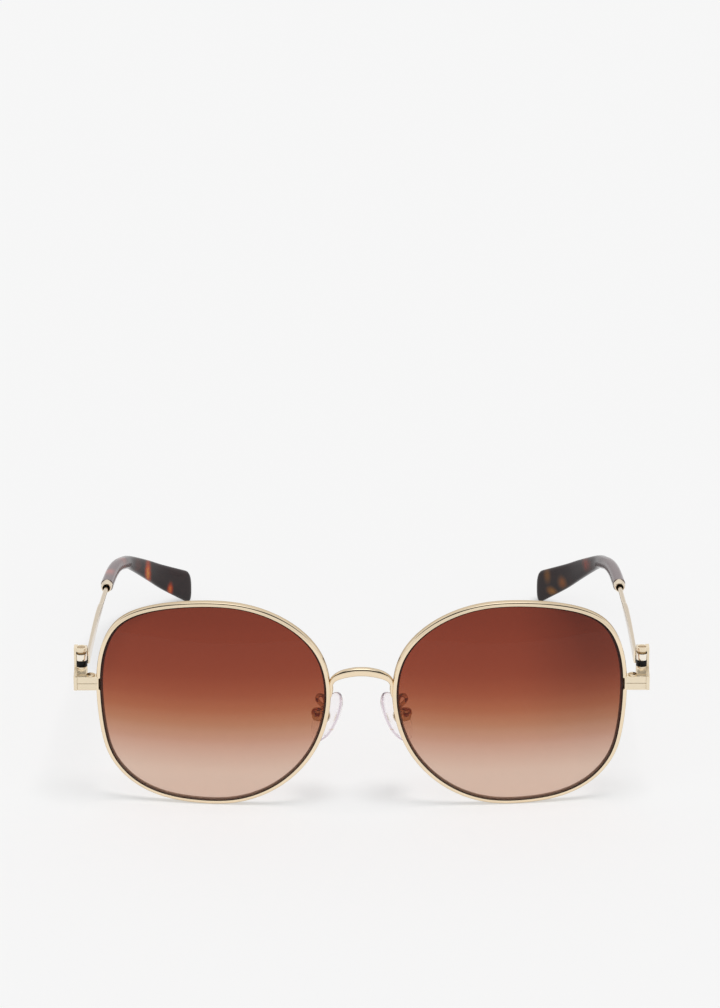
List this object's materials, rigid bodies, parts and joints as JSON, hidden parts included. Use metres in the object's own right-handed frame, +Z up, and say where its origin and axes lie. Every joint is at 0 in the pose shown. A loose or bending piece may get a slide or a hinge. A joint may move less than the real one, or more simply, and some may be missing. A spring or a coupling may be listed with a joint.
{
  "type": "round sunglasses",
  "caption": "Round wire sunglasses with brown gradient lenses, folding temples with tortoise tips, and rocking clear nose pads.",
  "frame": {"origin": "middle of the bounding box, on the floor that the rims and the temple tips stand on", "axes": "+Z up; the lenses face -Y; +X is the wearer's left side"},
  "size_m": [0.143, 0.1375, 0.0546],
  "materials": {
    "gold_metal": "polished pale gold plating",
    "screw_steel": "pale gold plated steel",
    "black_nylon": "satin",
    "bronze": "satin bronze",
    "lens_tint": "polished brown gradient, darker at the top",
    "tortoise_acetate": "polished dark tortoise",
    "clear_pad": "clear soft plastic",
    "pad_core_metal": "plated"
  },
  "bodies": {
    "front": {"bridge": "gold_metal", "rim_left": "gold_metal", "rim_right": "gold_metal", "lens_left": "lens_tint", "lens_right": "lens_tint", "lock_upper_left": "gold_metal", "lock_upper_right": "gold_metal", "lock_lower_left": "gold_metal", "lock_lower_right": "gold_metal", "lock_screw_left": "screw_steel", "lock_screw_right": "screw_steel", "end_piece_left": "gold_metal", "end_piece_right": "gold_metal", "hinge_spacer_left": "black_nylon", "hinge_spacer_right": "black_nylon", "hinge_washer_left": "bronze", "hinge_washer_right": "bronze", "hinge_screw_left": "screw_steel", "hinge_screw_right": "screw_steel", "pad_arm_left": "gold_metal", "pad_arm_right": "gold_metal", "pad_box_left": "gold_metal", "pad_box_right": "gold_metal", "pad_screw_left": "screw_steel", "pad_screw_right": "screw_steel"},
    "temple_left_body": {"temple_knuckle_left": "gold_metal", "temple_left": "gold_metal", "ferrule_left": "gold_metal", "temple_tip_left": "tortoise_acetate"},
    "pad_left_body": {"nose_pad_left": "clear_pad", "pad_core_left": "pad_core_metal"},
    "temple_right_body": {"temple_knuckle_right": "gold_metal", "temple_right": "gold_metal", "ferrule_right": "gold_metal", "temple_tip_right": "tortoise_acetate"},
    "pad_right_body": {"nose_pad_right": "clear_pad", "pad_core_right": "pad_core_metal"}
  },
  "joints": [
    {"name": "temple_fold_left", "type": "hinge", "parent": "front", "child": "temple_left_body", "pos_m": [0.06975, -0.05718, 0.03724], "axis": [0, 0, 1], "range_deg": [0, 80]},
    {"name": "temple_fold_right", "type": "hinge", "parent": "front", "child": "temple_right_body", "pos_m": [-0.06975, -0.05718, 0.03724], "axis": [0, 0, -1], "range_deg": [0, 74]},
    {"name": "pad_rock_left", "type": "hinge", "parent": "front", "child": "pad_left_body", "pos_m": [0.0104, -0.06028, 0.0225], "axis": [0.4809, 0.8387, 0.2557], "range_deg": [-6, 6]},
    {"name": "pad_rock_right", "type": "hinge", "parent": "front", "child": "pad_right_body", "pos_m": [-0.0104, -0.06028, 0.0225], "axis": [-0.4809, 0.8387, 0.2557], "range_deg": [-6, 6]}
  ]
}
